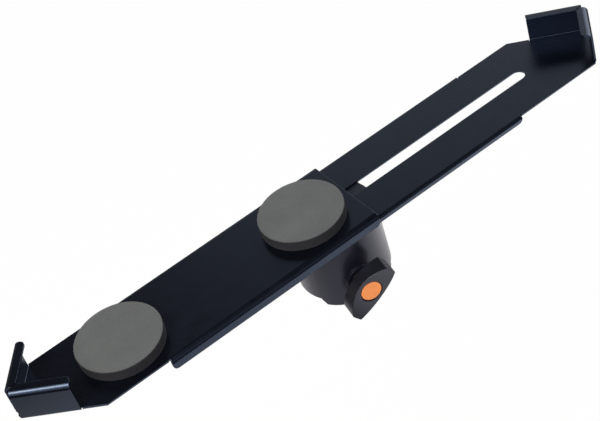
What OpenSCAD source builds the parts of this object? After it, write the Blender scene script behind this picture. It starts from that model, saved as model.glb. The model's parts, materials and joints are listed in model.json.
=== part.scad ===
// Tablet holder: two telescoping steel plates with hooked corner brackets,
// foam pads, and a round housing whose socket clamps on a stand's stud.
// Origin: mouth centre of the stud socket. +Z points up to the tablet,
// +X along the bar towards the bracket of the sliding plate.

/* [Sheet metal] */
// Thickness of both steel plates
sheet_t = 1.2; // [1:0.1:1.6]
// Inside radius of the fold at the foot of the walls
foot_in = 0.4; // [0.3:0.1:1]
// Inside radius of the fold between walls and lips
lip_in = 2.2; // [1.2:0.1:3]
// Radius of the rounded corners of flanges and lips
corner_r = 3; // [1.5:0.5:4]
// Radius of the relief holes where a fold ends
relief_r = 0.6; // [0.4:0.1:1.2]

/* [Outer plate] */
// Width over the flanges
outer_w = 63.5; // [60:0.5:70]
// Height of the flanges from the plate's top face
outer_flange_h = 7.4; // [6:0.1:9]
// Inside radius where its flanges fold down
outer_fold_in = 2; // [1:0.1:2.4]
// From the stand axis to the end of the flanges at the bracket
outer_reach = 127; // [110:0.5:150]
// From the stand axis to the plate's open end
outer_tail = 15.1; // [14:0.1:20]

/* [Sliding plate] */
// From the stand axis to the end of the flanges, pulled out as shown
slide_reach = 123.2; // [110:0.1:140]
// From the stand axis to the plate's hidden end
slide_tail = 31.5; // [29:0.5:40]
// Height of the flanges from the plate's top face
slide_flange_h = 4; // [3:0.1:5]
// Inside radius where its flanges fold down
slide_fold_in = 0.6; // [0.4:0.1:1]
// Play between the flanges of the two plates, each side
side_gap = 0.15; // [0.1:0.05:0.3]
// Width of the long slot
slot_w = 8.8; // [8:0.1:10]
// From the stand axis to the slot's closed outer end
slot_reach = 151.2; // [140:0.1:156]
// Metal left between the slot and the plate's hidden end
slot_land = 10; // [8:0.5:11]

/* [Corner brackets] */
// Unflanged stretch between the flanges and the slanted side
flat_run = 40; // [35:0.5:50]
// How far the unflanged edges lie inside the flanged width
flat_inset = 1.6; // [1:0.1:2.5]
// Angle between the slanted side and the bar
side_angle = 37.5; // [34:0.5:42]
// Length of the slanted side up to the end wall's outer face
side_len = 51.5; // [49:0.1:53]
// Length of the slanted side that stays flat
free_edge = 14.3; // [10:0.1:20]
// Height of the walls over the plate's top face
wall_h = 19.6; // [14:0.1:24]
// How far the wall on the slanted side stands outside the flat edge
wall_out = 1.2; // [0.5:0.1:1.6]
// Width of the lips, from the wall's outer face
lip_w = 6.8; // [6:0.1:9]
// Gap from the corner to the wall on the slanted side
side_gap_to_corner = 3.5; // [2:0.1:4.5]
// Gap from the corner to the wall on the end
end_gap_to_corner = 4.9; // [4.5:0.1:6]
// How far the end wall stops short of the long edge
end_wall_short = 0.8; // [0:0.1:4]
// Half the gap between the two lips at their mitre
mitre_gap = 0.35; // [0.2:0.05:0.6]

/* [Pads] */
// Diameter of the foam pads
pad_d = 50.8; // [45:0.1:55]
// Thickness of the foam pads
pad_t = 7.5; // [5:0.1:9]
// From the stand axis to the centre of the upper pad
upper_pad_x = 15.2; // [12:0.1:17]
// Distance between the pad centres
pad_pitch = 124.6; // [110:0.1:126]

/* [Sliding guide] */
// Thickness of the glide strips between the plates
glide_t = 2; // [1:0.1:3]
// Width of each glide strip
glide_w = 12; // [8:0.5:14]
// Length of the glide strips
glide_l = 128; // [100:1:135]
// Distance of the glide strips' middle lines from the bar's middle
glide_y = 17; // [14:0.5:19]
// Running clearance above and below the sliding plate
run_gap = 0.1; // [0.05:0.05:0.2]
// Play of the guide block in the slot, each side
slot_gap = 0.15; // [0.1:0.05:0.3]
// Guide block past the rear bolt
block_lead = 6.5; // [6:0.1:8]
// Guide block past the front bolt
block_nose = 9.5; // [6:0.1:9.8]
// Thickness of the backing plate
backing_t = 2; // [1.5:0.1:3]
// Length of the backing plate along the bar
backing_l = 53; // [46:0.5:60]
// Width of the backing plate
backing_w = 52; // [46:0.5:54]

/* [Plate bolts] */
// Thread diameter of the two countersunk bolts
bolt_d = 5; // [4:0.5:5]
// Diameter of the bolt heads
bolt_head_d = 9.2; // [8:0.1:9.6]
// Overall length of the bolts
bolt_l = 16; // [14:0.5:16]
// From the stand axis back to the rear bolt
rear_bolt_x = 12; // [10:0.5:13]
// Distance between the bolts
bolt_pitch = 16; // [15:0.5:16]
// Radial play around the bolts
bolt_gap = 0.1; // [0.05:0.05:0.2]
// Outside diameter of the brass inserts
insert_d = 7.4; // [7:0.1:8]
// Length of the brass inserts
insert_l = 9; // [8:0.5:9.5]

/* [Housing] */
// Height of the housing over the socket's mouth
housing_h = 44; // [42:0.5:48]
// Diameter at the top
housing_top_d = 57; // [54:0.2:57.4]
// Diameter at the socket's mouth
housing_low_d = 56; // [54:0.2:58]
// Wall thickness of the shell
shell_t = 3; // [2.5:0.1:4]
// Thickness of the top deck
deck_t = 7; // [6:0.5:8]
// How far the rim reaches lower on the knob's side
rim_drop = 4.3; // [3:0.1:6]
// Half the width of the lower part of the rim
rim_half_w = 23; // [18:0.5:24]
// Edge rounding at the top and at the rim
housing_edge_r = 1.2; // [0.8:0.1:2]
// Wall of the moulded tube round the socket sleeve
tube_t = 3; // [2.5:0.1:3.5]
// Thickness of the inner ribs
rib_t = 2.2; // [1.6:0.1:3]
// Number of inner ribs
rib_count = 6; // [4:1:8]
// How far the ribs stop above the rim
rib_recess = 2; // [1:0.5:4]

/* [Stud socket] */
// Bore of the socket sleeve
socket_d = 16.1; // [15.9:0.05:16.3]
// Depth of the socket
socket_l = 30; // [26:0.5:31]
// Wall of the socket sleeve
sleeve_t = 2.4; // [2:0.1:3]

/* [Clamp screw] */
// Height of the clamp screw over the socket's mouth
clamp_z = 13.4; // [11:0.1:16]
// Direction of the clamp screw, turned from +X about +Z
clamp_angle = -100.5; // [-110:0.5:-95]
// Thread diameter of the clamp screw
clamp_d = 8; // [7:0.5:8]
// Outside diameter of the threaded insert
clamp_insert_d = 12; // [11:0.5:13]
// Diameter of the boss for the threaded insert
boss_d = 18; // [16:0.5:20]
// From the stand axis to the face of the boss
boss_x = 29.6; // [29.2:0.1:29.8]
// Diameter of the clamp shoe
shoe_d = 6.6; // [6:0.1:7]
// Length of the clamp shoe
shoe_l = 5.5; // [5:0.1:6]
// How far the shoe stands back from the socket's wall
shoe_back = 0.3; // [0.2:0.1:0.6]
// Radial running clearance of shoe and screw
shaft_gap = 0.06; // [0.03:0.01:0.09]
// Diameter of the screw's nose in the shoe
nose_d = 3; // [2.6:0.1:3.2]
// Thickness of the retaining ring
ring_t = 0.6; // [0.5:0.1:0.8]
// Outside diameter of the retaining ring
ring_d = 4.8; // [4.4:0.1:5]

/* [Knob] */
// From the stand axis to the middle of the knob's front
knob_face_x = 41.5; // [40:0.5:44]
// From the stand axis to the flat back of the wing
knob_back_x = 33; // [32.6:0.1:35]
// From the stand axis to the end of the knob's neck
neck_x = 31.4; // [31.3:0.1:32]
// Diameter of the neck at its end
neck_d = 14; // [12:0.5:15]
// Half the length of the wing
wing_half_l = 17.4; // [15:0.1:19]
// Half the width of the wing in its middle
wing_half_w = 8.9; // [8.4:0.1:10]
// Half the width of the wing at its ends
wing_end_w = 3.2; // [2.8:0.1:4.5]
// How far the ends of the wing stand out past its middle
wing_hollow = 3.5; // [2:0.1:4]
// Tilt of the wing from level
wing_tilt = 38; // [0:1:90]
// Rounding of the wing's corners
wing_r = 1.4; // [0.8:0.1:2]
// Diameter of the disc in the knob
disc_d = 13.3; // [12:0.1:14]
// Thickness of the disc
disc_t = 1.3; // [1:0.1:2]
// Gap round the disc
disc_gap = 0.25; // [0.15:0.05:0.4]

/* [Hidden] */
$fn = 72;
eps = 0.01;
cut = 60;
foot_out = foot_in + sheet_t;
lip_out = lip_in + sheet_t;
foot = 0.5;
slide_w = outer_w - 2 * (sheet_t + side_gap);

z_backing = housing_h + backing_t;
z_slide = z_backing + run_gap + sheet_t;
z_outer_low = z_slide + run_gap + glide_t;
z_outer = z_outer_low + sheet_t;

front_bolt_x = bolt_pitch - rear_bolt_x;
bolts_x = [-rear_bolt_x, front_bolt_x];
head_land = 0.3;
head_cone_h = (bolt_head_d - bolt_d) / 2;
hex_key = 3;
hex_depth = 1.7;
head_sink = 0.1;
tip_room = 1.2;
tip_gap = 0.5;

sleeve_r = socket_d / 2 + sleeve_t;
tube_r = sleeve_r + tube_t;
boss_wall = 2.4;
shoe_tip = socket_d / 2 + shoe_back;
shoe_rear = shoe_tip + shoe_l;
nose_l = shoe_l - 2;
ring_mid = shoe_rear - 1.5;
groove_play = 0.1;
shoe_bottom = 0.3;
push_gap = 0.05;
insert_clear = 0.3;
stud_end = knob_face_x - disc_t - 1.2;
lens_r = (pow(wing_half_l, 2) + pow(wing_half_w - wing_end_w, 2)) / (2 * (wing_half_w - wing_end_w));
hollow_r = (pow(wing_half_l, 2) + pow(wing_hollow, 2)) / (2 * wing_hollow);

// Points on an arc, as a list of [x, y]
function arc(c, r, from, to, n = 6) =
    [for (i = [0:n]) let (a = from + (to - from) * i / n) c + r * [cos(a), sin(a)]];

// Flat pattern and folds of the corner brackets. The bracket lies at the +X
// end of its plate, and its slanted side starts on the +Y edge at the origin.
function side_dir() = [cos(side_angle), -sin(side_angle)];
function side_in() = [-sin(side_angle), -cos(side_angle)];
function corner(half) = [0, half] + side_len * side_dir() - wall_out * side_in();
function end_len(half) = (corner(half)[1] + half) / cos(side_angle);
function fold_start(half) = [0, half] + free_edge * side_dir() + (foot_out - wall_out) * side_in();
function fold_corner(half) = corner(half) - foot_out * side_dir() + foot_out * side_in();
function wall_end(half) = end_len(half) - end_wall_short;
function fold_end(half) = corner(half) - foot_out * side_dir() + wall_end(half) * side_in();

// Frame of the slanted side: +X from its start to the corner, +Y outwards
module on_side(half) {
    translate([0, half, 0]) rotate(-side_angle) translate([0, wall_out, 0]) children();
}

// Frame of the end: +X from the corner to the long edge, +Y outwards
module on_end(half) {
    translate(corner(half)) rotate(-side_angle - 90) children();
}

module quarter_ring(r_in, r_out) {
    intersection() {
        difference() {
            circle(r_out);
            circle(r_in);
        }
        square(r_out);
    }
}

// Section of a wall with its fold at the foot and its lip at the top
module wall_section() {
    translate([-foot_out - foot, -sheet_t]) square([foot, sheet_t]);
    translate([-foot_out, foot_in]) mirror([0, 1]) quarter_ring(foot_in, foot_out);
    translate([-sheet_t, foot_in]) square([sheet_t, wall_h - lip_out - foot_in]);
    translate([-lip_out, wall_h - lip_out]) quarter_ring(lip_in, lip_out);
    translate([-lip_w, wall_h - sheet_t]) square([lip_w - lip_out, sheet_t]);
}

module wall(from, to) {
    translate([from, 0, 0]) rotate([90, 0, 90]) linear_extrude(to - from) wall_section();
}

// Cutter that rounds the lip's inner corner; turn = 1 at the +X end, -1 at the other
module lip_rounding(at, turn) {
    translate([at, -lip_w, wall_h - 2 * sheet_t]) scale([turn, 1, 1])
        linear_extrude(3 * sheet_t) difference() {
            translate([-corner_r, -eps]) square([corner_r + eps, corner_r + eps]);
            translate([-corner_r, corner_r]) circle(corner_r);
        }
}

// Cutter along the bisector of the corner that parts the two lips
module lip_mitre(half, turn) {
    translate(corner(half)) rotate(-side_angle - 135)
        translate([-cut / 2, turn > 0 ? mitre_gap - cut : -mitre_gap, foot_out])
            cube([cut, cut, wall_h]);
}

module bracket_walls(half) {
    difference() {
        on_side(half) difference() {
            wall(free_edge, side_len - side_gap_to_corner);
            lip_rounding(free_edge, -1);
        }
        lip_mitre(half, -1);
    }
    difference() {
        on_end(half) difference() {
            wall(end_gap_to_corner, wall_end(half));
            lip_rounding(wall_end(half), 1);
        }
        lip_mitre(half, 1);
    }
}

module bracket_outline(half) {
    start = [0, half];
    polygon([
        [-flat_run - eps, -half],
        [-flat_run - eps, half],
        start,
        start + free_edge * side_dir(),
        fold_start(half),
        fold_corner(half),
        fold_end(half),
        [fold_end(half)[0], -half]
    ]);
}

// Bracket whose plate's top face lies at z = 0
module bracket(half) {
    difference() {
        union() {
            translate([0, 0, -sheet_t]) linear_extrude(sheet_t) bracket_outline(half);
            bracket_walls(half);
        }
        for (at = [fold_start(half), fold_corner(half)])
            translate([at[0], at[1], -2 * sheet_t]) cylinder(r = relief_r, h = 4 * sheet_t);
    }
}

// Section of a plate with both long edges folded down; top face at z = 0
module round_top(w, h, r) {
    translate([-w / 2, -h]) square([w, h - r]);
    translate([-w / 2 + r, -h + eps]) square([w - 2 * r, h - eps]);
    for (side = [-1, 1]) translate([side * (w / 2 - r), -r]) circle(r);
}

module channel_section(w, h, fold_in) {
    difference() {
        round_top(w, h, fold_in + sheet_t);
        translate([0, -sheet_t]) round_top(w - 2 * sheet_t, h, fold_in);
    }
}

// Cutter that rounds the lower corner of both flanges at x = at
module flange_rounding(at, turn, w, h) {
    translate([at, 0, -h]) rotate([90, 0, 0]) linear_extrude(w + 2, center = true)
        difference() {
            translate([turn > 0 ? -corner_r : -eps, -eps]) square(corner_r + eps);
            translate([-turn * corner_r, corner_r]) circle(corner_r);
        }
}

module channel(from, to, w, h, fold_in) {
    difference() {
        translate([from, 0, 0]) rotate([90, 0, 90])
            linear_extrude(to - from) channel_section(w, h, fold_in);
        flange_rounding(from, -1, w, h);
        flange_rounding(to, 1, w, h);
    }
}

// Relief holes where the flanges end at the bracket
module flange_reliefs(at, w) {
    for (side = [-1, 1]) translate([at, side * (w / 2 - flat_inset), -2 * sheet_t])
        cylinder(r = relief_r, h = 3 * sheet_t);
}

// One plate, bracket towards +X, top face at z = 0
module plate(tail, reach, w, h, fold_in) {
    difference() {
        union() {
            channel(-tail, reach, w, h, fold_in);
            translate([reach + flat_run, 0, 0]) bracket(w / 2 - flat_inset);
        }
        flange_reliefs(reach, w);
    }
}

module countersink(z_top) {
    for (x = bolts_x) translate([x, 0, z_top]) {
        translate([0, 0, -head_sink - head_land - head_cone_h])
            cylinder(r1 = bolt_d / 2 + bolt_gap, r2 = bolt_head_d / 2 + bolt_gap, h = head_cone_h);
        translate([0, 0, -head_sink - head_land])
            cylinder(r = bolt_head_d / 2 + bolt_gap, h = head_sink + head_land + 1);
        translate([0, 0, -cut / 2]) cylinder(r = bolt_d / 2 + bolt_gap, h = cut / 2);
    }
}

module outer_plate() {
    color([0.10, 0.10, 0.12]) difference() {
        translate([0, 0, z_outer]) rotate(180)
            plate(outer_tail, outer_reach, outer_w, outer_flange_h, outer_fold_in);
        countersink(z_outer);
    }
}

module slot_cutter() {
    from = slot_land - slide_tail + slot_w / 2;
    to = slot_reach - slot_w / 2;
    translate([0, 0, -2 * sheet_t]) {
        for (x = [from, to]) translate([x, 0, 0]) cylinder(d = slot_w, h = 3 * sheet_t);
        translate([from, -slot_w / 2, 0]) cube([to - from, slot_w, 3 * sheet_t]);
    }
}

module slide_plate() {
    color([0.14, 0.15, 0.18]) translate([0, 0, z_slide]) difference() {
        plate(slide_tail, slide_reach, slide_w, slide_flange_h, slide_fold_in);
        slot_cutter();
    }
}

// Round foam pad with softly rounded rims
module foam_pad(x) {
    edge = 0.6;
    r = pad_d / 2;
    color([0.38, 0.40, 0.40]) translate([x, 0, z_outer]) rotate_extrude()
        polygon(concat(
            [[0, 0], [r, 0]],
            arc([r - edge, pad_t - edge], edge, 0, 90, 3),
            [[0, pad_t]]
        ));
}

module upper_pad() { foam_pad(-upper_pad_x); }

module lower_pad() { foam_pad(-upper_pad_x - pad_pitch); }

module glide_strip(side) {
    right = outer_tail - 2.6;
    color([0.16, 0.16, 0.17])
        translate([right - glide_l, side * glide_y - glide_w / 2, z_outer_low - glide_t])
            cube([glide_l, glide_w, glide_t]);
}

module front_glide_strip() { glide_strip(-1); }

module rear_glide_strip() { glide_strip(1); }

module guide_block() {
    w = slot_w - 2 * slot_gap;
    from = -rear_bolt_x - block_lead + w / 2;
    to = front_bolt_x + block_nose - w / 2;
    color([0.16, 0.16, 0.17]) difference() {
        translate([0, 0, z_backing]) {
            for (x = [from, to]) translate([x, 0, 0]) cylinder(d = w, h = z_outer_low - z_backing);
            translate([from, -w / 2, 0]) cube([to - from, w, z_outer_low - z_backing]);
        }
        countersink(z_outer);
    }
}

module backing_plate() {
    color([0.10, 0.10, 0.12]) difference() {
        translate([0, 0, housing_h]) linear_extrude(backing_t) difference() {
            square([backing_l, backing_w], center = true);
            for (x = [-1, 1], y = [-1, 1])
                translate([x * backing_l / 2, y * backing_w / 2]) rotate(45) square(2 * corner_r, center = true);
        }
        countersink(z_outer);
    }
}

// Countersunk bolt with a hexagon socket
module plate_bolt(x) {
    top = z_outer - head_sink;
    color([0.55, 0.56, 0.58]) translate([x, 0, top]) difference() {
        union() {
            translate([0, 0, -bolt_l]) cylinder(d = bolt_d, h = bolt_l);
            translate([0, 0, -head_land - head_cone_h])
                cylinder(d1 = bolt_d, d2 = bolt_head_d, h = head_cone_h);
            translate([0, 0, -head_land]) cylinder(d = bolt_head_d, h = head_land);
        }
        translate([0, 0, -hex_depth]) cylinder(d = hex_key / cos(30), h = hex_depth + 1, $fn = 6);
    }
}

module plate_bolt_1() { plate_bolt(bolts_x[0]); }

module plate_bolt_2() { plate_bolt(bolts_x[1]); }

module bolt_insert(x) {
    color([0.78, 0.62, 0.30]) translate([x, 0, housing_h - insert_l]) difference() {
        cylinder(d = insert_d, h = insert_l);
        translate([0, 0, -1]) cylinder(d = bolt_d + 2 * shaft_gap, h = insert_l + 2);
    }
}

module bolt_insert_1() { bolt_insert(bolts_x[0]); }

module bolt_insert_2() { bolt_insert(bolts_x[1]); }

// Frame of the clamp screw: +Z outwards along the screw, +X down
module on_clamp() {
    translate([0, 0, clamp_z]) rotate([0, 0, clamp_angle]) rotate([0, 90, 0]) children();
}

// Solid of revolution between the deck and a rim at z = low
function wall_r(z) = housing_low_d / 2 - (housing_low_d - housing_top_d) / 2 * z / housing_h;

module housing_blank(low) {
    e = housing_edge_r;
    rotate_extrude() polygon(concat(
        [[0, low]],
        arc([wall_r(low) - e, low + e], e, -90, 0, 4),
        arc([wall_r(housing_h) - e, housing_h - e], e, 0, 90, 4),
        [[0, housing_h]]
    ));
}

// Block that keeps the lower rim on the knob's side only
module rim_block() {
    h = housing_h + rim_drop;
    rotate(clamp_angle) translate([0, 0, -rim_drop]) {
        translate([0, -rim_half_w, h / 2]) cube([cut, 2 * rim_half_w, h / 2]);
        rotate([90, 0, 90]) linear_extrude(cut) {
            square([0.1, h]);
            polygon([
                [-rim_half_w + rim_drop / 2, 0],
                [rim_half_w - rim_drop / 2, 0],
                [rim_half_w, rim_drop],
                [rim_half_w, h / 2 + eps],
                [-rim_half_w, h / 2 + eps],
                [-rim_half_w, rim_drop]
            ]);
        }
    }
}

module housing_hollow() {
    low = -rim_drop - 1;
    ceiling = housing_h - deck_t;
    rotate_extrude() polygon([
        [0, low],
        [wall_r(low) - shell_t, low],
        [wall_r(ceiling) - shell_t, ceiling],
        [0, ceiling]
    ]);
}

module housing_inside() {
    ceiling = housing_h - deck_t;
    cylinder(r = tube_r, h = ceiling + eps);
    for (i = [0:rib_count - 1])
        rotate(clamp_angle + (i + 0.5) * 360 / rib_count)
            translate([tube_r - 1, -rib_t / 2, rib_recess])
                cube([wall_r(0) - tube_r - shell_t / 2, rib_t, ceiling - rib_recess + eps]);
    for (x = bolts_x) translate([x, 0, housing_h - insert_l - boss_wall])
        cylinder(d = insert_d + 2 * boss_wall, h = insert_l + boss_wall - deck_t + eps);
    on_clamp() translate([0, 0, sleeve_r + 1]) cylinder(d = boss_d, h = wall_r(clamp_z) - sleeve_r - 2);
}

module housing() {
    color([0.17, 0.17, 0.20]) difference() {
        union() {
            difference() {
                union() {
                    housing_blank(0);
                    intersection() {
                        housing_blank(-rim_drop);
                        rim_block();
                    }
                }
                housing_hollow();
            }
            intersection() {
                housing_blank(0);
                housing_inside();
            }
            on_clamp() translate([0, 0, wall_r(clamp_z) - shell_t])
                cylinder(d = boss_d, h = boss_x - wall_r(clamp_z) + shell_t);
        }
        translate([0, 0, -1]) cylinder(r = sleeve_r, h = socket_l + 1);
        on_clamp() cylinder(d = clamp_insert_d, h = cut);
        for (x = bolts_x) {
            translate([x, 0, housing_h - insert_l]) cylinder(d = insert_d, h = insert_l + 1);
            translate([x, 0, housing_h - insert_l - tip_room]) cylinder(d = bolt_d + 2 * tip_gap, h = insert_l);
        }
    }
}

module socket_sleeve() {
    color([0.62, 0.63, 0.65]) difference() {
        cylinder(r = sleeve_r, h = socket_l);
        translate([0, 0, -1]) cylinder(d = socket_d, h = socket_l + 2);
        on_clamp() cylinder(d = shoe_d + 2 * shaft_gap, h = cut);
    }
}

// Threaded bush that carries the clamp screw
module clamp_insert() {
    from = sleeve_r + insert_clear;
    color([0.78, 0.62, 0.30]) on_clamp() translate([0, 0, from]) difference() {
        cylinder(d = clamp_insert_d, h = boss_x - from);
        translate([0, 0, -1]) cylinder(d = clamp_d + 2 * shaft_gap, h = cut);
    }
}

// Brass shoe that the screw pushes on the stud
module clamp_shoe() {
    color([0.78, 0.62, 0.30]) on_clamp() difference() {
        translate([0, 0, shoe_tip]) cylinder(d = shoe_d, h = shoe_l);
        translate([0, 0, shoe_rear - nose_l - shoe_bottom])
            cylinder(d = nose_d + 2 * shaft_gap, h = cut);
        translate([0, 0, ring_mid - ring_t / 2 - groove_play])
            cylinder(d = ring_d + 2 * shaft_gap, h = ring_t + 2 * groove_play);
    }
}

// Snap ring that keeps the shoe on the screw's nose
module shoe_ring() {
    color([0.50, 0.50, 0.52]) on_clamp() translate([0, 0, ring_mid - ring_t / 2 - groove_play])
        difference() {
            cylinder(d = ring_d, h = ring_t);
            translate([0, 0, -1]) cylinder(d = nose_d - 0.6 + 2 * shaft_gap, h = ring_t + 2);
        }
}

module clamp_stud() {
    color([0.60, 0.61, 0.63]) on_clamp() {
        translate([0, 0, shoe_rear + push_gap]) cylinder(d = clamp_d, h = stud_end - shoe_rear - push_gap);
        difference() {
            translate([0, 0, shoe_rear - nose_l]) cylinder(d = nose_d, h = nose_l + push_gap + eps);
            translate([0, 0, ring_mid - ring_t / 2 - 2 * groove_play]) difference() {
                cylinder(d = nose_d + 1, h = ring_t + 3 * groove_play);
                cylinder(d = nose_d - 0.6, h = cut, center = true);
            }
        }
    }
}

// Outline of the wing: a pointed oval with cut-off, rounded ends
module wing_outline() {
    offset(r = wing_r) offset(delta = -wing_r) intersection() {
        for (side = [-1, 1]) intersection_for (s = [-1, 1])
            translate([s * (lens_r - wing_half_w), 0]) circle(lens_r, $fn = 180);
        square([4 * wing_half_w, 2 * wing_half_l], center = true);
    }
}

module knob_body() {
    color([0.12, 0.12, 0.14]) on_clamp() difference() {
        union() {
            rotate(wing_tilt) difference() {
                translate([0, 0, knob_back_x])
                    linear_extrude(knob_face_x + wing_hollow - knob_back_x) wing_outline();
                translate([0, 0, knob_face_x + hollow_r]) rotate([0, 90, 0])
                    cylinder(r = hollow_r, h = 4 * wing_half_w, center = true, $fn = 180);
            }
            translate([0, 0, neck_x])
                cylinder(d1 = neck_d, d2 = 2 * wing_half_w - 1, h = knob_back_x - neck_x + eps);
        }
        translate([0, 0, neck_x - 1]) cylinder(d = clamp_d, h = stud_end - neck_x + 1);
        translate([0, 0, knob_face_x - disc_t]) cylinder(d = disc_d + 2 * disc_gap, h = cut);
    }
}

// Bare disc set in the middle of the knob, with a bevelled edge
module knob_cap() {
    bevel = 0.3;
    color([0.85, 0.42, 0.12]) on_clamp() translate([0, 0, knob_face_x - disc_t]) {
        cylinder(d = disc_d, h = disc_t - bevel);
        translate([0, 0, disc_t - bevel]) cylinder(d1 = disc_d, d2 = disc_d - 2 * bevel, h = bevel);
    }
}

outer_plate();
slide_plate();
upper_pad();
lower_pad();
front_glide_strip();
rear_glide_strip();
guide_block();
backing_plate();
plate_bolt_1();
plate_bolt_2();
bolt_insert_1();
bolt_insert_2();
housing();
socket_sleeve();
clamp_insert();
clamp_shoe();
shoe_ring();
clamp_stud();
knob_body();
knob_cap();
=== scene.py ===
import bpy, bmesh, json, math
from mathutils import Matrix, Vector


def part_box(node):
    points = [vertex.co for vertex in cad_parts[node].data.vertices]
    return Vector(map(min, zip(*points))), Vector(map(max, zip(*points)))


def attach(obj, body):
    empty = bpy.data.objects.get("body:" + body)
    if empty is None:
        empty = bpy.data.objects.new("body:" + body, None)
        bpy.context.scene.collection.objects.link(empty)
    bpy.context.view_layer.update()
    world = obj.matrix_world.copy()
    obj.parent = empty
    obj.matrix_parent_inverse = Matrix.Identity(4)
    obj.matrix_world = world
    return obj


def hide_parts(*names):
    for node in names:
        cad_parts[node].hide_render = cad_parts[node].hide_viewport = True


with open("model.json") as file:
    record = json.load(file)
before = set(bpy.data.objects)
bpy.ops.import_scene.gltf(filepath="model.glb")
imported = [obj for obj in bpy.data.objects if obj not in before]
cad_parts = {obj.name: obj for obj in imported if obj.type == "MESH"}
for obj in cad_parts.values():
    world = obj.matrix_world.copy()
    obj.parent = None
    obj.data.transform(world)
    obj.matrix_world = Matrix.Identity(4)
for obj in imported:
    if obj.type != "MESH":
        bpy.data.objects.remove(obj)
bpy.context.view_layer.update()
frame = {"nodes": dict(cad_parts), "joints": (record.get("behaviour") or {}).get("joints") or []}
nodes = frame["nodes"]
joints = {joint["name"]: joint for joint in frame["joints"]}
scene = bpy.context.scene
MM = 0.001

# The camera, solved from the straight edges of the plates; metres, degrees, and the lens in millimetres
CAMERA_AT = (-0.257897, -0.580342, 0.603045)
CAMERA_PAN = -22.67566
CAMERA_TILT = 49.07237
CAMERA_ROLL = -19.34857
CAMERA_LENS = 88.8726
SENSOR_WIDTH = 36.0
CLIP_START = 0.05
CLIP_END = 20


def make_camera():
    """Tilt lifts the view from straight down, pan turns it about the vertical,
    and roll turns the picture."""
    data = bpy.data.cameras.new("camera")
    cam = bpy.data.objects.new("camera", data)
    scene.collection.objects.link(cam)
    pan = Matrix.Rotation(math.radians(CAMERA_PAN), 4, "Z")
    tilt = Matrix.Rotation(math.radians(CAMERA_TILT), 4, "X")
    roll = Matrix.Rotation(math.radians(CAMERA_ROLL), 4, "Z")
    cam.matrix_world = Matrix.Translation(Vector(CAMERA_AT)) @ pan @ tilt @ roll
    data.sensor_width = SENSOR_WIDTH
    data.lens = CAMERA_LENS
    data.clip_start = CLIP_START
    data.clip_end = CLIP_END
    data.dof.use_dof = False
    scene.camera = cam


# Node trees
def rgba(value):
    """A grey or a colour with full opacity; a socket stays as it is."""
    if isinstance(value, bpy.types.NodeSocket):
        return value
    if hasattr(value, "__len__"):
        return (*value, 1)
    return (value, value, value, 1)


class Nodes:
    """A short way to write a node tree."""

    def __init__(self, tree):
        self.tree = tree
        tree.nodes.clear()

    def fill(self, socket, value):
        """Links a socket, or gives it a fixed value."""
        if isinstance(value, bpy.types.NodeSocket):
            self.tree.links.new(value, socket)
        else:
            socket.default_value = value

    def put(self, node, **values):
        """Fills the inputs that have these names, and sets the rest as settings."""
        for key, value in values.items():
            name = key.replace("_", " ")
            if name in node.inputs:
                self.fill(node.inputs[name], value)
            else:
                setattr(node, key, value)

    def node(self, kind, **values):
        made = self.tree.nodes.new(kind)
        self.put(made, **values)
        return made

    def ordered(self, kind, inputs, **settings):
        """A node whose inputs are filled by their number."""
        made = self.node(kind, **settings)
        for index, value in inputs.items():
            self.fill(made.inputs[index], value)
        return made

    def maths(self, operation, *values):
        return self.ordered("ShaderNodeMath", dict(enumerate(values)), operation=operation).outputs[0]

    def vector_maths(self, operation, output, *values):
        made = self.ordered("ShaderNodeVectorMath", dict(enumerate(values)), operation=operation)
        return made.outputs[output]

    def mix(self, part, a, b):
        """The colour a, with this part of b."""
        inputs = {0: part, 6: rgba(a), 7: rgba(b)}
        return self.ordered("ShaderNodeMix", inputs, data_type="RGBA").outputs[2]

    def mix_number(self, part, a, b):
        return self.ordered("ShaderNodeMix", {0: part, 2: a, 3: b}, data_type="FLOAT").outputs[0]

    def mix_shader(self, part, a, b):
        return self.ordered("ShaderNodeMixShader", {0: part, 1: a, 2: b}).outputs[0]

    def curve(self, value, stops, lo=0.0, hi=1.0, top=1.0):
        """A grey over value, which runs from lo to hi. A stop is a value and its
        grey, and top is the highest grey that a stop may have."""
        if (lo, hi) != (0.0, 1.0):
            value = self.maths("DIVIDE", self.maths("SUBTRACT", value, lo), hi - lo)
        ramp = self.ordered("ShaderNodeValToRGB", {0: value})
        elements = ramp.color_ramp.elements
        while len(elements) < len(stops):
            elements.new(0.5)
        for element, (at, grey) in zip(elements, stops):
            element.position = (at - lo) / (hi - lo)
            element.color = rgba(grey / top)
        if top == 1.0:
            return ramp.outputs[0]
        return self.maths("MULTIPLY", ramp.outputs[0], top)


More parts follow.
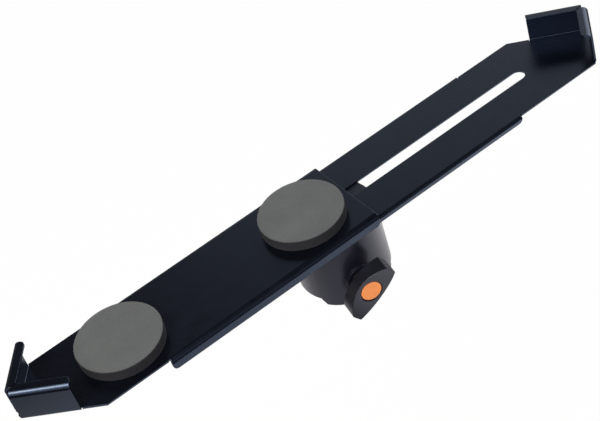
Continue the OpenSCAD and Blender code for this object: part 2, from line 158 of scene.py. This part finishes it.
class Surface(Nodes):
    """A material with one principled shader, whose patterns lie in the frame's metres."""

    def __init__(self, name):
        self.mat = bpy.data.materials.new(name)
        self.mat.use_nodes = True
        super().__init__(self.mat.node_tree)
        self.bsdf = self.node("ShaderNodeBsdfPrincipled")
        self.node("ShaderNodeOutputMaterial", Surface=self.bsdf.outputs[0])
        self.coord = self.node("ShaderNodeTexCoord").outputs["Object"]

    def set(self, **values):
        self.put(self.bsdf, **values)

    def mapped(self, scale, turn=(0, 0, 0)):
        return self.node("ShaderNodeMapping", Vector=self.coord, Scale=scale, Rotation=turn).outputs[0]

    def noise(self, scale, detail=2.0, rough=0.5, vector=None):
        """Noise from 0 to 1, with this many cells for each metre."""
        at = self.coord if vector is None else vector
        made = self.node("ShaderNodeTexNoise", Vector=at, Scale=scale, Detail=detail, Roughness=rough)
        return made.outputs["Fac"]

    def patchy(self, noise, lo, hi, a, b):
        """Patches of the colours a and b, which blend where the noise is from lo to hi."""
        return self.mix(self.curve(noise, [(lo, 0.0), (hi, 1.0)]), a, b)

    def bevel(self, radius, samples):
        return self.node("ShaderNodeBevel", Radius=radius, samples=samples).outputs[0]

    def bump(self, layers, normal=None):
        """Each layer is a height socket, its strength and its depth. They stack, and
        start from the normal of rounded edges where one is given."""
        for height, strength, depth in layers:
            made = self.node("ShaderNodeBump", Strength=strength, Distance=depth, Height=height)
            if normal is not None:
                self.fill(made.inputs["Normal"], normal)
            normal = made.outputs[0]
        self.set(Normal=normal)


# Materials
COAT_DARK = (0.0012, 0.0015, 0.0028)
COAT_LIGHT = (0.0020, 0.0024, 0.0042)
COAT_ROUGH = (0.22, 0.29)
COAT_TINT = (0.72, 0.96, 1.5, 1)
COAT_EDGE = 0.4 * MM
# How far the occlusion reaches, and the coat's shine over it: painted shade in inner corners
CORNER_REACH = 1.6 * MM
CORNER_SHINE = ((0.45, 0.06), (0.9, 0.5))
PEEL_DEPTH = 0.06 * MM
GRAIN_DEPTH = 0.012 * MM

BACKING_DARK = (0.006, 0.006, 0.007)
BACKING_LIGHT = (0.009, 0.009, 0.010)
BACKING_ROUGH = (0.4, 0.5)

HOUSING_BLACK = (0.009, 0.009, 0.015)
HOUSING_TINT = (0.80, 0.78, 1.08)
KNOB_BLACK = (0.007, 0.007, 0.011)
KNOB_TINT = (0.90, 0.90, 1.15)
GLIDE_GREY = (0.03, 0.03, 0.032)
TOOL_TEXTURE_DEPTH = 0.03 * MM
SINK_DEPTH = 0.25 * MM
ORANGE = (0.92, 0.28, 0.06)
ORANGE_RIM = (0.10, 0.022, 0.012)
CAP_BEVEL = 0.3 * MM
RIM_BAND = 0.35 * MM

BOLT_STEEL = (0.50, 0.51, 0.53)
BRASS = (0.75, 0.56, 0.26)
SLEEVE_STEEL = (0.56, 0.57, 0.59)
RING_STEEL = (0.42, 0.42, 0.44)
STUD_STEEL = (0.60, 0.61, 0.63)
TURNING_DEPTH = 0.02 * MM
THREAD_PITCH = 1.25 * MM
THREAD_DEPTH = 0.35 * MM

FOAM_DARK = (0.050, 0.054, 0.056)
FOAM_LIGHT = (0.088, 0.094, 0.096)
FOAM_PALE = (0.108, 0.114, 0.116)
# Darker foam colours for the pads' sides: painted shade
FOAM_SIDE_SHADE_DARK = (0.013, 0.013, 0.016)
FOAM_SIDE_SHADE_LIGHT = (0.030, 0.029, 0.035)
PALE_PART = 0.35
SMUDGE_PART = 0.22
SHEEN_PART = 0.12
CELL_DEPTH = 0.10 * MM
SPECK_DEPTH = 0.08 * MM
SWELL_DEPTH = 0.5 * MM


def shades(colour, darkest, lightest):
    """A darker and a lighter shade of one colour."""
    return [c * darkest for c in colour], [c * lightest for c in colour]


def powder_coat(name, dark, light, rough):
    """Semi-gloss powder coat: fine orange peel, faint mottling, rounded edges.
    In inner corners an occlusion mask lowers the coat's shine, as painted shade."""
    t = Surface(name)
    mottle = t.noise(90, 3.0, 0.6)
    cloud = t.noise(14)
    peel = t.noise(520, 2.0, 0.45)
    grain = t.noise(2600, 2.0, 0.6)
    # An occlusion mask lowers the coat's shine in inner corners and creases: painted shade
    corner_shade = t.node("ShaderNodeAmbientOcclusion", Distance=CORNER_REACH, samples=6, only_local=True)
    sheen = t.mix(0.5, mottle, cloud)
    t.set(Base_Color=t.patchy(mottle, 0.3, 0.7, dark, light), Metallic=0.0, IOR=1.5)
    t.set(Specular_IOR_Level=t.curve(corner_shade.outputs["AO"], CORNER_SHINE), Specular_Tint=COAT_TINT)
    t.set(Roughness=t.curve(sheen, [(0.3, rough[0]), (0.7, rough[1])]))
    t.bump([(peel, 0.22, PEEL_DEPTH), (grain, 0.15, GRAIN_DEPTH)], t.bevel(COAT_EDGE, 8))
    return t


def moulded(name, base, rough, grain=0.25, edge=0.5 * MM, spec=0.5, tint=(1, 1, 1)):
    """Moulded plastic with the fine eroded texture of its tool."""
    t = Surface(name)
    cloud = t.noise(35, 3.0, 0.55)
    fine = t.noise(1900, 3.0, 0.65)
    dark, light = shades(base, 0.86, 1.12)
    t.set(Base_Color=t.patchy(cloud, 0.35, 0.65, dark, light), Metallic=0.0, IOR=1.5)
    t.set(Specular_IOR_Level=spec, Specular_Tint=rgba(tint))
    t.set(Roughness=t.curve(cloud, [(0.3, rough - 0.04), (0.7, rough + 0.05)]))
    t.bump([(fine, grain, TOOL_TEXTURE_DEPTH), (cloud, 0.08, SINK_DEPTH)], t.bevel(edge, 8))
    return t


def capped_disc(name, face, rim, rough, axis_at, axis, rim_r):
    """Moulded disc that darkens towards rim_r, where its bevelled edge starts."""
    t = moulded(name, face, rough, grain=0.12, edge=0.25 * MM)
    offset = t.vector_maths("SUBTRACT", "Vector", t.coord, axis_at)
    across = t.vector_maths("CROSS_PRODUCT", "Vector", offset, axis)
    radius = t.vector_maths("LENGTH", "Value", across)
    ring = t.node("ShaderNodeMapRange", Value=radius, From_Min=rim_r - RIM_BAND, From_Max=rim_r)
    plain = t.bsdf.inputs["Base Color"].links[0].from_socket
    t.set(Base_Color=t.mix(ring.outputs["Result"], plain, rim))
    return t


def turned_metal(name, base, rough, lines=900.0):
    """Metal with the fine level marks that turning on an upright axis leaves."""
    t = Surface(name)
    marks = t.noise(1.0, 4.0, 0.6, t.mapped((25, 25, lines)))
    blotch = t.noise(60, 3.0)
    dark, full = shades(base, 0.82, 1.0)
    t.set(Base_Color=t.patchy(blotch, 0.35, 0.7, dark, full), Metallic=1.0)
    t.set(Roughness=t.curve(marks, [(0.25, rough - 0.07), (0.75, rough + 0.1)]))
    t.bump([(marks, 0.25, TURNING_DEPTH)], t.bevel(0.15 * MM, 4))
    return t


def threaded(name, base, rough, pitch, axis):
    """Plated screw: the thread's ridges run round the screw's axis."""
    t = Surface(name)
    along = t.vector_maths("DOT_PRODUCT", "Value", t.coord, axis)
    ridge = t.maths("SINE", t.maths("MULTIPLY", along, 2 * math.pi / pitch))
    height = t.maths("MULTIPLY_ADD", ridge, 0.5, 0.5)
    # The thread is only a bump, so its grooves are painted darker: painted shade
    groove_shade = t.curve(height, [(0.0, 0.35), (0.35, 1.0)])
    blotch = t.noise(220, 3.0)
    dark, full = shades(base, 0.35, 1.0)
    t.set(Base_Color=t.mix(groove_shade, dark, full), Metallic=1.0)
    t.set(Roughness=t.curve(blotch, [(0.3, rough - 0.05), (0.7, rough + 0.12)]))
    t.bump([(ridge, 1.0, THREAD_DEPTH)])
    return t


def foam(name):
    """Closed-cell foam: tiny cells, cloudy grey, matt; the sides are painted darker, as painted shade.
    """
    t = Surface(name)
    normal = t.node("ShaderNodeTexCoord").outputs["Normal"]
    facing = t.node("ShaderNodeSeparateXYZ", Vector=normal).outputs["Z"]
    upward = t.curve(facing, [(0.1, 0.0), (0.8, 1.0)])
    cells = t.node("ShaderNodeTexVoronoi", Vector=t.coord, Scale=2100.0).outputs["Distance"]
    speck = t.noise(1500, 3.0, 0.7)
    cloud = t.noise(55, 4.0, 0.6)
    smudge = t.noise(9, 2.0, 0.5, t.mapped((1, 2.2, 1), (0, 0, 0.7)))
    pale = t.maths("MULTIPLY", t.curve(cloud, [(0.35, 0.0), (0.7, 1.0)]), PALE_PART)
    dull = t.maths("MULTIPLY", t.curve(smudge, [(0.4, 0.0), (0.65, 1.0)]), SMUDGE_PART)
    speckled = t.patchy(speck, 0.3, 0.7, FOAM_DARK, FOAM_LIGHT)
    top = t.mix(dull, t.mix(pale, speckled, FOAM_PALE), FOAM_DARK)
    # The sides get a darker copy of the foam's colour: painted shade, as less light falls on them
    side_shade = t.patchy(speck, 0.3, 0.7, FOAM_SIDE_SHADE_DARK, FOAM_SIDE_SHADE_LIGHT)
    t.set(Base_Color=t.mix(upward, side_shade, top), Roughness=0.94, Specular_IOR_Level=0.2)
    t.set(Sheen_Weight=t.maths("MULTIPLY", upward, SHEEN_PART), Sheen_Roughness=0.6)
    t.bump([(cells, 0.5, CELL_DEPTH), (speck, 0.45, SPECK_DEPTH), (cloud, 0.25, SWELL_DEPTH)])
    return t


# The two foam pads
PAD_STEPS = 144
PAD_RIM = 0.75 * MM
PAD_DIP = 0.22 * MM
PAD_FOOT = 0.6 * MM
PAD_CROWN = 0.12 * MM
SIDE_STEPS = 8
RIM_STEPS = 6
TOP_STEPS = 14


def unevenness(angle, start):
    """The part of its radius at which a pad's edge lies: three slow and seven fast waves."""
    return 1 + 0.0016 * math.sin(3 * angle + start) + 0.0010 * math.sin(7 * angle + 1.3)


def pad_profile(r, h):
    """From the lower edge up the drawn-in side, round the rim and to the middle."""
    points = [(r - 0.35 * MM, 0.0), (r - 0.05 * MM, 0.18 * MM), (r, PAD_FOOT)]
    for i in range(1, SIDE_STEPS):
        k = i / SIDE_STEPS
        points.append((r - PAD_DIP * math.sin(math.pi * k), PAD_FOOT + (h - 2 * PAD_RIM) * k))
    for i in range(RIM_STEPS + 1):
        a = math.pi / 2 * i / RIM_STEPS
        out = r - PAD_RIM + PAD_RIM * math.cos(a)
        points.append((out, h - PAD_RIM - PAD_CROWN + PAD_RIM * math.sin(a)))
    for i in range(1, TOP_STEPS + 1):
        k = i / TOP_STEPS
        rise = math.sin(math.pi / 2 * min(1, k * 1.6))
        points.append(((r - PAD_RIM) * (1 - k), h - PAD_CROWN + PAD_CROWN * rise))
    return points


def foam_pad(name, node, body, material):
    """A die-cut disc of foam: slightly crowned and not quite round, with a soft
    upper rim and sides that draw in a little between the cut edges."""
    lo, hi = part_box(node)
    cx, cy = (lo.x + hi.x) / 2, (lo.y + hi.y) / 2
    r, h = (hi.x - lo.x) / 2, hi.z - lo.z
    profile = pad_profile(r, h)
    bm = bmesh.new()
    rings = []
    for out, up in profile[:-1]:
        ring = []
        for j in range(PAD_STEPS):
            a = 2 * math.pi * j / PAD_STEPS
            q = min(out * unevenness(a, cx * 90), r)
            ring.append(bm.verts.new((cx + q * math.cos(a), cy + q * math.sin(a), lo.z + up)))
        rings.append(ring)
    middle = bm.verts.new((cx, cy, lo.z + profile[-1][1]))
    for low, high in zip(rings, rings[1:]):
        for j in range(PAD_STEPS):
            after = (j + 1) % PAD_STEPS
            bm.faces.new((low[j], low[after], high[after], high[j]))
    for j in range(PAD_STEPS):
        bm.faces.new((rings[-1][j], rings[-1][(j + 1) % PAD_STEPS], middle))
    bm.faces.new(list(reversed(rings[0])))
    bm.normal_update()
    mesh = bpy.data.meshes.new(name)
    bm.to_mesh(mesh)
    bm.free()
    for face in mesh.polygons:
        face.use_smooth = True
    pad = bpy.data.objects.new(name, mesh)
    scene.collection.objects.link(pad)
    mesh.materials.append(material)
    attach(pad, body)
    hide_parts(node)


# Lamps: name, place, aim, width in metres, watts, colour
LAMPS = (
    ("top_box", (-0.72, -0.46, 1.12), (0, 0, 0), 1.0, 18.0, (1, 1, 1)),
    ("right_box", (1.5, 0.0, 0.8), (0.1, 0, 0.05), 0.8, 9.5, (0.93, 0.96, 1.0)),
    ("left_box", (-1.08, -0.20, 1.18), (-0.19, 0, 0.06), 0.24, 7.5, (1.0, 0.86, 0.61)),
)


def make_lamp(name, place, aim, width, watts, colour):
    data = bpy.data.lights.new(name, "AREA")
    data.energy = watts
    data.color = colour
    data.shape = "SQUARE"
    data.size = width
    lamp = bpy.data.objects.new(name, data)
    scene.collection.objects.link(lamp)
    lamp.location = place
    lamp.rotation_mode = "QUATERNION"
    lamp.rotation_quaternion = (Vector(aim) - Vector(place)).to_track_quat("-Z", "Y")


# The floor; the table's light goes over the distance from the origin, and its gain over X, in metres
FLOOR_HALF = 4.0
FLOOR_Z = -0.30
FLOOR_WHITE = (0.82, 0.82, 0.82)
GLOW_PART = 0.97
TABLE_GLOW = ((0, 0.52), (0.46, 0.52), (0.52, 0.95), (0.62, 0.95), (0.70, 0.03), (1, 0.03))
TABLE_GAIN = ((-1, 0.9), (-0.55, 0.95), (-0.3, 1.7), (0.14, 1.7), (0.42, 2.9), (1, 2.9))
TABLE_TOP = 3.0


def backdrop_material(name):
    """White where the camera sees it, with a small part of the lit floor and its
    shadow. Reflections see a white table that ends a little way from the object,
    with a bright rim and more light at the right. All other rays meet the lit floor."""
    material = bpy.data.materials.new(name)
    material.use_nodes = True
    t = Nodes(material.node_tree)
    coord = t.node("ShaderNodeTexCoord").outputs["Object"]
    path = t.node("ShaderNodeLightPath")
    seen = path.outputs["Is Camera Ray"]
    distance = t.vector_maths("LENGTH", "Value", coord)
    x = t.node("ShaderNodeSeparateXYZ", Vector=coord).outputs["X"]
    gain = t.curve(x, TABLE_GAIN, -1, 1, top=TABLE_TOP)
    table_light = t.maths("MULTIPLY", t.curve(distance, TABLE_GLOW), gain)
    strength = t.mix_number(seen, table_light, 1.0)
    glow = t.node("ShaderNodeEmission", Color=rgba(1.0), Strength=strength)
    lit = t.node("ShaderNodeBsdfDiffuse", Color=rgba(FLOOR_WHITE))
    seen_part = t.maths("MULTIPLY", seen, GLOW_PART)
    part = t.maths("MAXIMUM", seen_part, path.outputs["Is Glossy Ray"])
    shader = t.mix_shader(part, lit.outputs[0], glow.outputs[0])
    t.node("ShaderNodeOutputMaterial", Surface=shader)
    return material


def make_floor():
    s, z = FLOOR_HALF, FLOOR_Z
    mesh = bpy.data.meshes.new("floor")
    mesh.from_pydata([(-s, -s, z), (s, -s, z), (s, s, z), (-s, s, z)], [], [(0, 1, 2, 3)])
    floor = bpy.data.objects.new("floor", mesh)
    scene.collection.objects.link(floor)
    mesh.materials.append(backdrop_material("floor_white"))


# The world; bearings run from the Y axis towards the X axis and heights over the horizon, in degrees
BASE_HEIGHT = (
    (-90, 0.6), (-6, 0.5), (-2, 0.2), (5, 0.2), (28, 0.12), (38, 0.05), (50, 0.03),
    (70, 0.05), (90, 0.08),
)
WALL_BEARING = (
    (-180, 0), (10, 0), (14, 0.07), (18, 0.25), (21, 0.33), (27, 0.33), (37, 0.2), (48, 1),
    (100, 0.8), (140, 0), (180, 0),
)
WALL_HEIGHT = ((-90, 0), (0, 0.3), (10, 1), (38.5, 1), (44.5, 0), (90, 0))
WALL_LIGHT = 1.86
FILL_BEARING = ((-180, 0.35), (-150, 1), (-115, 1), (-90, 0), (150, 0), (180, 0.35))
FILL_HEIGHT = ((-90, 0), (7, 0), (12, 1), (30, 1), (40, 0), (90, 0))
FILL_LIGHT = 1.3


def make_world():
    """White behind the object. For all other rays a dim studio: a pale wall at
    the right rear whose top and left end fade out, a low fill at the near left,
    and a dark ceiling."""
    world = bpy.data.worlds.new("studio")
    scene.world = world
    world.use_nodes = True
    t = Nodes(world.node_tree)
    ahead = t.node("ShaderNodeTexCoord").outputs["Generated"]
    split = t.node("ShaderNodeSeparateXYZ", Vector=ahead)
    degrees = 180 / math.pi
    turn = t.maths("ARCTAN2", split.outputs["X"], split.outputs["Y"])
    bearing = t.maths("MULTIPLY", turn, degrees)
    height = t.maths("MULTIPLY", t.maths("ARCSINE", split.outputs["Z"]), degrees)

    def light(bearings, heights, gain):
        """A light that changes with both angles."""
        across = t.curve(bearing, bearings, -180, 180)
        up = t.curve(height, heights, -90, 90)
        return t.maths("MULTIPLY", t.maths("MULTIPLY", across, up), gain)

    base = t.curve(height, BASE_HEIGHT, -90, 90)
    wall = light(WALL_BEARING, WALL_HEIGHT, WALL_LIGHT)
    fill = light(FILL_BEARING, FILL_HEIGHT, FILL_LIGHT)
    total = t.maths("ADD", t.maths("ADD", base, wall), fill)
    white = t.node("ShaderNodeBackground", Color=rgba(1.0))
    room = t.node("ShaderNodeBackground", Color=rgba(1.0), Strength=total)
    seen = t.node("ShaderNodeLightPath").outputs["Is Camera Ray"]
    shader = t.mix_shader(seen, room.outputs[0], white.outputs[0])
    t.node("ShaderNodeOutputWorld", Surface=shader)


def give(names, surface):
    """CAD nodes get this material."""
    for name in names:
        materials = nodes[name].data.materials
        materials.clear()
        materials.append(surface.mat)


# The scene is put together
make_camera()
make_world()
make_floor()
for lamp in LAMPS:
    make_lamp(*lamp)

screw_at = joints["knob_turn"]["pos_m"]
outward = [-value for value in joints["knob_turn"]["axis"]]
cap_lo, cap_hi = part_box("knob_cap")
disc_face = (cap_hi.z - cap_lo.z) / 2 - CAP_BEVEL

give(["outer_plate"], powder_coat("outer_powder_coat", COAT_DARK, COAT_LIGHT, COAT_ROUGH))
give(["slide_plate"], powder_coat("slide_powder_coat", COAT_DARK, COAT_LIGHT, COAT_ROUGH))
give(["backing_plate"], powder_coat("backing_coat", BACKING_DARK, BACKING_LIGHT, BACKING_ROUGH))
shell = moulded("housing_plastic", HOUSING_BLACK, 0.33, spec=0.38, tint=HOUSING_TINT)
give(["housing"], shell)
knob = moulded("knob_plastic", KNOB_BLACK, 0.34, grain=0.35, spec=0.62, tint=KNOB_TINT)
give(["knob_body"], knob)
glide = moulded("glide_plastic", GLIDE_GREY, 0.45)
give(["front_glide_strip", "rear_glide_strip", "guide_block"], glide)
disc = capped_disc("cap_orange", ORANGE, ORANGE_RIM, 0.34, screw_at, outward, disc_face)
give(["knob_cap"], disc)
give(["plate_bolt_1", "plate_bolt_2"], turned_metal("bolt_steel", BOLT_STEEL, 0.3))
brass = turned_metal("turned_brass", BRASS, 0.28)
give(["bolt_insert_1", "bolt_insert_2", "clamp_insert", "clamp_shoe"], brass)
give(["socket_sleeve"], turned_metal("sleeve_steel", SLEEVE_STEEL, 0.27, lines=1400.0))
give(["shoe_ring"], turned_metal("ring_steel", RING_STEEL, 0.35))
give(["clamp_stud"], threaded("stud_steel", STUD_STEEL, 0.30, THREAD_PITCH, outward))

pad_foam = foam("foam").mat
foam_pad("upper_foam_pad", "upper_pad", "holder", pad_foam)
foam_pad("lower_foam_pad", "lower_pad", "holder", pad_foam)

scene.view_settings.view_transform = "Standard"
